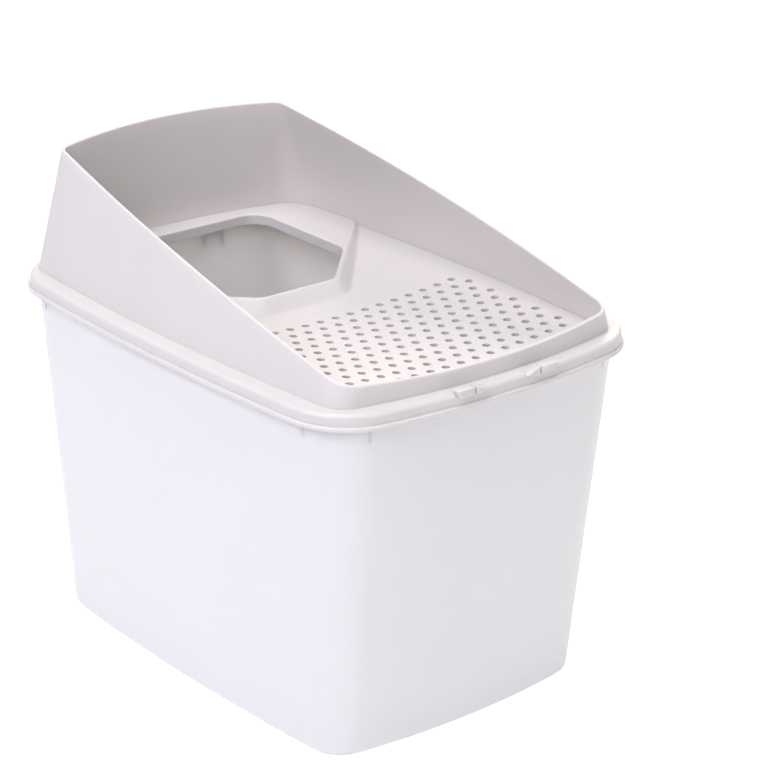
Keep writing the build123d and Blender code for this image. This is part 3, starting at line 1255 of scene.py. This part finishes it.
        add(border, True)
        add(hole, True)
        run = self.step_drop * math.tan(math.radians(self.riser_angle))
        bend = self.top_round * math.sin(self.tilt)
        offsets = [distance - self.reach for distance in (0.0, *self.bend_rows, bend)]
        offsets += list(np.linspace(self.riser_start, run + self.riser_past, self.riser_rows))
        for offset in offsets:
            path = self.edge_path(offset)
            add(path[inside(path, border)], False)
        across = np.arange(-self.grid_half, self.grid_half + 1, self.grid_step)
        for y in np.arange(*self.grid_ends, self.grid_step):
            row = np.column_stack([across, np.full(len(across), y)])
            keep = inside(row, border) & (self.beyond(row) > run + self.grid_clear)
            points.extend(map(tuple, row[keep]))
        verts, _, triangles, *_ = delaunay_2d_cdt([Vector(p) for p in points], edges, [], 0, self.merge_within)
        plan = np.array([v[:] for v in verts])
        middles = np.array([plan[list(t)].mean(axis=0) for t in triangles])
        keep = inside(middles, border) & ~inside(middles, hole)
        faces = [tuple(t) for t, wanted in zip(triangles, keep) if wanted]
        top = np.column_stack([plan, self.height(plan)])
        lip = []
        for inset, fall in reversed(quarter_round(self.entry_round, self.entry_steps)):
            lip.append(ring(self.entry_loop(inset), self.rim.shelf_top - fall))
        for fall in (*self.lip_falls, self.entry_lip):
            lip.append(ring(self.entry_loop(), self.rim.shelf_top - fall))
        count = len(lip[0])
        start = len(top)
        for row in range(len(lip) - 1):
            for i in range(count):
                a, b = start + row * count + i, start + row * count + (i + 1) % count
                faces.append((a, b, b + count, a + count))
        return object_from("lid_floor_face", np.vstack([top, *lip]), faces)

    def build(self, plastic: bpy.types.Material) -> bpy.types.Object:
        """Build and dress the floor, with its thickness and its drain holes.

        Args:
            plastic: Its finish.

        Returns:
            The floor.
        """
        face = self.surface()
        flip_up(face.data)
        thick = face.modifiers.new("wall", "SOLIDIFY")
        thick.thickness = self.rim.wall * MM
        thick.offset = -1.0
        thick.use_even_offset = True
        solid = plain(face, "lid_floor_solid")
        shade(solid.data)
        sizes = {
            "Pitch": self.hole_pitch,
            "First Row": self.first_row,
            "Diameter": self.hole_diameter,
            "Field Half Width": self.field_half,
            "Field Front": self.field_front,
            "Field Corner": self.field_corner,
            "Field Bow": self.rim.end_bow,
            "Height": self.rim.shelf_top - self.step_drop,
            "Drill Length": self.drill_length,
        }
        counts = {
            "Rows": int((self.first_row - self.field_front) / (self.hole_pitch * math.sqrt(3) / 2)) + 1,
            "Columns": 2 * int(self.field_half / self.hole_pitch) + 3,  # one spare at each side
        }
        values = {**{name: size * MM for name, size in sizes.items()}, **counts, "Finish": plastic}
        floor = run_tree(solid, self.drill_tree(sizes, counts), values, "lid_floor")
        return dress(floor, plastic, Body.LID, Slot.LID)

    def drill_tree(self, sizes: Iterable[str], counts: Iterable[str]) -> bpy.types.NodeTree:
        """Make the node tree that drills the staggered rows of drain holes.

        Args:
            sizes: Names of its inputs that are lengths.
            counts: Names of its inputs that are whole numbers.

        Returns:
            The tree.
        """
        kinds = {**dict.fromkeys(sizes, "NodeSocketFloat"), **dict.fromkeys(counts, "NodeSocketInt")}
        tree, given = blank_tree("drain holes", kinds)
        place = add_node(tree, "GeometryNodeInputPosition", {}, {}).outputs[0]
        known = {name: given[name] for name in kinds}
        known |= dict(add_node(tree, "ShaderNodeSeparateXYZ", {}, {0: place}).outputs.items())
        for name, operation, *terms in DRILL_SUMS:
            links = {i: known[term] for i, term in enumerate(terms) if isinstance(term, str)}
            numbers = {i: term for i, term in enumerate(terms) if not isinstance(term, str)}
            done = add_node(tree, "ShaderNodeMath", {"operation": operation, **numbers}, links)
            known[name] = done.outputs[0]
        grid = add_node(
            tree, "GeometryNodeMeshGrid", {},
            {
                "Size X": known["Grid X"], "Size Y": known["Grid Y"],
                "Vertices X": given["Columns"], "Vertices Y": given["Rows"],
            },
        )
        spot = add_node(
            tree, "ShaderNodeCombineXYZ", {},
            {"X": known["Hole X"], "Y": known["Hole Y"], "Z": given["Height"]},
        )
        moved = add_node(
            tree, "GeometryNodeSetPosition", {},
            {"Geometry": grid.outputs["Mesh"], "Position": spot.outputs[0]},
        )
        kept = add_node(
            tree, "GeometryNodeDeleteGeometry", {"domain": "POINT"},
            {"Geometry": moved.outputs["Geometry"], "Selection": known["Outside"]},
        )
        punch = add_node(
            tree, "GeometryNodeMeshCylinder", {"Vertices": self.drill_sides},
            {"Radius": known["Radius"], "Depth": given["Drill Length"]},
        )
        many = add_node(
            tree, "GeometryNodeInstanceOnPoints", {},
            {"Points": kept.outputs["Geometry"], "Instance": punch.outputs["Mesh"]},
        )
        real = add_node(tree, "GeometryNodeRealizeInstances", {}, {"Geometry": many.outputs["Instances"]})
        drilled = add_node(
            tree, "GeometryNodeMeshBoolean", {"operation": "DIFFERENCE", "solver": "MANIFOLD"},
            {"Mesh 1": given["Geometry"], "Mesh 2": real.outputs["Geometry"]},
        )
        end_tree(tree, drilled.outputs["Mesh"], given["Finish"])
        return tree


@dataclass
class FrontLugs:
    """The two finger lugs on the front of the rim, each a pad and a wedge with a slit between them."""

    rim: Rim
    slot_x: float = 37.4
    slot_width: float = 2.0
    pad_length: float = 19.5
    pad_taper: float = 3.5
    wedge_length: float = 15.0
    rise: float = 3.8
    foot: float = 3.6
    depth: float = 9.0
    wedge_drop: float = 1.2  # wedge's thin end, below the shelf
    pad_bevel: float = 1.0
    wedge_bevel: float = 0.4

    def build(self, plastic: bpy.types.Material) -> bpy.types.Object:
        """Build and dress both lugs as one piece.

        Args:
            plastic: Their finish.

        Returns:
            The lugs.
        """
        top, bottom = self.rim.shelf_top + self.rise, self.rim.shelf_top - self.foot
        start = self.slot_x + self.slot_width / 2
        end = start + self.pad_length
        pad = [(start, top), (start, bottom), (end - self.pad_taper, bottom), (end, top)]
        tall = self.slot_x - self.slot_width / 2
        low = tall - self.wedge_length
        tip = (low, self.rim.shelf_top - self.wedge_drop)
        wedge = [(tall, top), (tall, bottom), ((tall + low) / 2, bottom), tip]
        front = -self.rim.length / 2
        parts = [
            plate(name, profile, front, front + self.depth, bevel, Axis.Y)
            for name, profile, bevel in (("pad", pad, self.pad_bevel), ("wedge", wedge, self.wedge_bevel))
        ]
        return dress(mirrored("lid_front_lugs", parts, plastic), plastic, Body.LID, Slot.LID)


@dataclass
class RearHinge:
    """The ears on the tub and the barrels on the lid that the two pins join."""

    rim: Rim
    tub: Tub
    centre: float = 60.0
    drop: float = 5.2
    back: float = 4.6
    barrel_radius: float = 4.6
    barrel_length: float = 18.0
    ear_thickness: float = 3.4
    side_gap: float = 0.4
    ear_root: float = 18.0
    ear_sunk: float = 1.5  # how far an ear reaches into the tub's wall
    ear_turn: tuple[float, float] = (-100.0, 90.0)  # degrees of its round end
    round_points: int = 15
    web: float = 4.7
    web_shift: float = 0.15
    web_low: float = 0.3  # web's top, below the lip's
    web_shy: float = 0.05  # its ends, inside the barrel's

    @property
    def axis(self) -> tuple[float, float]:
        """Y and z of the hinge axis."""
        return self.rim.length / 2 - self.back, self.rim.lip_bottom - self.drop

    def rounded(
        self, others: Sequence[tuple[float, float]], start: float, stop: float
    ) -> list[tuple[float, float]]:
        """Give a profile with a round end about the axis.

        Args:
            others: The profile's points after the round end.
            start: Angle at which the round end starts, in degrees.
            stop: Angle at which it ends.

        Returns:
            The profile's points, as y and z.
        """
        y, z = self.axis
        turns = [math.radians(a) for a in np.linspace(start, stop, self.round_points)]
        end = [(y + self.barrel_radius * math.cos(a), z + self.barrel_radius * math.sin(a)) for a in turns]
        return end + list(others)

    def build_ears(self, plastic: bpy.types.Material) -> bpy.types.Object:
        """Build and dress the four ears that stand out from the tub's rear wall.

        Args:
            plastic: Finish of the tub.

        Returns:
            The ears as one piece.
        """
        high = self.axis[1] + self.barrel_radius
        low = high - self.ear_root
        root_high, root_low = (
            self.tub.reach(self.tub.loop(z), Axis.X, self.centre) - self.ear_sunk for z in (high, low)
        )
        outline = self.rounded([(root_high, high), (root_low, low)], *self.ear_turn)
        offset = self.barrel_length / 2 + self.side_gap + self.ear_thickness / 2
        half = self.ear_thickness / 2
        parts = [
            plate("ear", outline, middle - half, middle + half)
            for middle in (self.centre - offset, self.centre + offset)
        ]
        return dress(mirrored("tub_hinge_ears", parts, plastic), plastic, Body.BIN, Slot.BIN)

    def build_barrels(self, plastic: bpy.types.Material) -> bpy.types.Object:
        """Build and dress the two barrels and the webs that carry them.

        Args:
            plastic: Finish of the lid.

        Returns:
            The barrels and webs as one piece.
        """
        y, z = self.axis
        near, far = (y + self.web_shift + side * self.web / 2 for side in (-1, 1))
        top = self.rim.lip_bottom + self.rim.lip_height - self.web_low
        web = [(near, z), (far, z), (far, top), (near, top)]
        last = 360.0 * (self.round_points - 1) / self.round_points
        start = self.centre - self.barrel_length / 2
        stop = start + self.barrel_length
        parts = [
            plate("barrel", self.rounded([], 0, last), start, stop),
            plate("web", web, start + self.web_shy, stop - self.web_shy),
        ]
        return dress(mirrored("lid_hinge_barrels", parts, plastic), plastic, Body.LID, Slot.LID)


# --------------------------------------------------------------------------------------------------
# Studio
# --------------------------------------------------------------------------------------------------


@dataclass(frozen=True)
class Lamp:
    """A soft rectangular lamp aimed at a point."""

    name: str
    place: tuple[float, float, float]
    aim: tuple[float, float, float]
    size: tuple[float, float]
    watts: float
    colour: str = "ffffff"

    def build(self) -> None:
        """Hang the lamp."""
        data = bpy.data.lights.new(self.name, "AREA")
        data.shape = "RECTANGLE"
        data.size, data.size_y = self.size
        data.energy = self.watts
        data.color = linear(self.colour)[:3]
        lamp = bpy.data.objects.new(self.name, data)
        aim = Vector(self.aim) - Vector(self.place)
        lamp.matrix_world = Matrix.Translation(self.place) @ aim.to_track_quat("-Z", "Y").to_matrix().to_4x4()
        bpy.context.scene.collection.objects.link(lamp)


@dataclass
class Studio:
    """Pale floor, white surroundings, soft lamps and the camera."""

    ambient: float = 0.3
    ambient_colour: str = "fcfbff"
    floor_colour: str = "f4f4f5"
    floor_half: float = 6000.0
    floor_roughness: float = 0.9
    floor_specular: float = 0.1
    floor_glow: float = 0.71  # what the eye sees of the floor beyond its own light
    lamps: tuple[Lamp, ...] = (
        Lamp("left softbox", (-2.3, -0.7, 2.3), (0.0, 0.0, 0.2), (1.6, 1.6), 64.0, "eeefff"),
        Lamp("overhead softbox", (-0.3, -0.1, 2.6), (0.0, 0.0, 0.3), (1.4, 1.4), 30.0, "fffaf8"),
        Lamp("front fill", (0.6, -2.9, 1.1), (0.0, 0.0, 0.2), (2.4, 2.0), 19.5, "fffdff"),
        Lamp("rear softbox", (2.2, 1.9, 1.3), (0.0, 0.0, 0.25), (1.8, 1.8), 34.0, "fff1e4"),
    )
    eye: tuple[float, float, float] = (-1.509738, -1.852295, 1.226669)
    yaw: float = 0.7034682
    pitch: float = 0.3865979
    roll: float = 0.0181548
    focal_pixels: float = 2789.833
    centre_pixels: tuple[float, float] = (-20.793, -3.936)
    frame_pixels: tuple[int, int] = (780, 781)
    sensor_width: float = 36.0
    clip_end: float = 50.0

    def white_for_eye(self, tree: bpy.types.NodeTree) -> bpy.types.NodeSocket:
        """Tell where the camera, a reflection or a clear body looks at the surroundings.

        Args:
            tree: Node tree to add to.

        Returns:
            A socket that is 1 there and 0 for any other ray.
        """
        path = add_node(tree, "ShaderNodeLightPath", {}, {}).outputs
        seen = path["Is Camera Ray"]
        for other in ("Is Glossy Ray", "Is Transmission Ray"):
            either = add_node(tree, "ShaderNodeMath", {"operation": "MAXIMUM"}, {0: seen, 1: path[other]})
            seen = either.outputs[0]
        return seen

    def surroundings(self) -> None:
        """Set the world: soft ambient light that looks white to the eye."""
        world = bpy.data.worlds.new("studio")
        bpy.context.scene.world = world
        world.use_nodes = True
        tree = world.node_tree
        tree.nodes.clear()
        seen = self.white_for_eye(tree)
        soft = add_node(
            tree, "ShaderNodeBackground", {"Color": linear(self.ambient_colour), "Strength": self.ambient}, {}
        )
        white = add_node(tree, "ShaderNodeBackground", {"Color": (1, 1, 1, 1), "Strength": 1.0}, {})
        mix = add_node(tree, "ShaderNodeMixShader", {}, {0: seen, 1: soft.outputs[0], 2: white.outputs[0]})
        add_node(tree, "ShaderNodeOutputWorld", {}, {"Surface": mix.outputs[0]})

    def floor(self) -> None:
        """Lay the pale floor, which keeps the object's shadow."""
        half = self.floor_half
        points = np.array([(-half, -half, 0), (half, -half, 0), (half, half, 0), (-half, half, 0)], float)
        floor = object_from("studio_floor", points, [(0, 1, 2, 3)])
        material, tree = blank_material("matt painted floor")
        paint = add_node(
            tree, "ShaderNodeBsdfPrincipled",
            {
                "Base Color": linear(self.floor_colour),
                "Roughness": self.floor_roughness,
                "Specular IOR Level": self.floor_specular,
            }, {},
        )
        glow = add_node(tree, "ShaderNodeEmission", {"Color": (1, 1, 1, 1), "Strength": self.floor_glow}, {})
        seen = self.white_for_eye(tree)
        lift = add_node(tree, "ShaderNodeAddShader", {}, {0: paint.outputs[0], 1: glow.outputs[0]})
        mix = add_node(tree, "ShaderNodeMixShader", {}, {0: seen, 1: paint.outputs[0], 2: lift.outputs[0]})
        add_node(tree, "ShaderNodeOutputMaterial", {}, {"Surface": mix.outputs[0]})
        floor.data.materials.append(material)

    def camera(self) -> None:
        """Place the camera at the fitted eye point and set its lens and shift."""
        cy, sy, cp, sp = math.cos(self.yaw), math.sin(self.yaw), math.cos(self.pitch), math.sin(self.pitch)
        ahead = Vector((sy * cp, cy * cp, -sp))
        right = Vector((cy, -sy, 0.0))
        up = right.cross(ahead)
        c, s = math.cos(self.roll), math.sin(self.roll)
        right, up = c * right + s * up, c * up - s * right
        data = bpy.data.cameras.new("camera")
        data.sensor_fit = "HORIZONTAL"
        data.sensor_width = self.sensor_width
        data.lens = self.focal_pixels * data.sensor_width / self.frame_pixels[0]
        data.shift_x = -self.centre_pixels[0] / self.frame_pixels[0]
        data.shift_y = self.centre_pixels[1] / self.frame_pixels[0]
        data.clip_end = self.clip_end
        camera = bpy.data.objects.new("camera", data)
        turn = Matrix((right, up, -ahead)).transposed().to_4x4()
        camera.matrix_world = Matrix.Translation(self.eye) @ turn
        bpy.context.scene.collection.objects.link(camera)
        bpy.context.scene.camera = camera

    def build(self) -> None:
        """Set up the surroundings, floor, lamps and camera."""
        bpy.context.scene.view_settings.view_transform = "Standard"
        self.surroundings()
        self.floor()
        for lamp in self.lamps:
            lamp.build()
        self.camera()


def main() -> None:
    """Build the litter box piece by piece on its CAD frame, and the studio round it."""
    logging.basicConfig(level=logging.INFO, format="%(name)s %(message)s")
    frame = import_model()

    bin_plastic = MouldedPolypropylene(
        "moulded polypropylene, natural white",
        colour="ebe9e7",
        cloud_colour="eeecea",
        milkiness=0.75,
        milk_depth=9.0,
    ).build()
    # The lid's colour is warmer than the tub's, as its plastic is, and also darker than its plastic: painted
    # shade that stands for the shade falling on the lid's front.
    lid_plastic = MouldedPolypropylene(
        "moulded polypropylene, warm white",
        colour="d1cdcb",
        cloud_colour="d5d1cf",
        milkiness=0.5,
        milk_depth=4.0,
    ).build()
    pin_plastic = TurnedAcetal().build()

    rim = Rim()
    tub = Tub(rim=rim)
    collar = Collar(rim=rim)
    floor = LidFloor(rim=rim, collar=collar)
    hinge = RearHinge(rim=rim, tub=tub)

    pieces = [
        *tub.build(bin_plastic),
        hinge.build_ears(bin_plastic),
        LidRim(rim, collar).build(lid_plastic),
        collar.build(lid_plastic, floor.under),
        floor.build(lid_plastic),
        FrontLugs(rim).build(lid_plastic),
        hinge.build_barrels(lid_plastic),
    ]
    for piece in pieces:
        log.info("%s: %d faces", piece.name, len(piece.data.polygons))

    pins = frame["nodes"]["hinge_pins"]
    pins.data.materials.clear()
    pins.data.materials.append(pin_plastic)

    Studio().build()


if __name__ == "__main__":
    main()
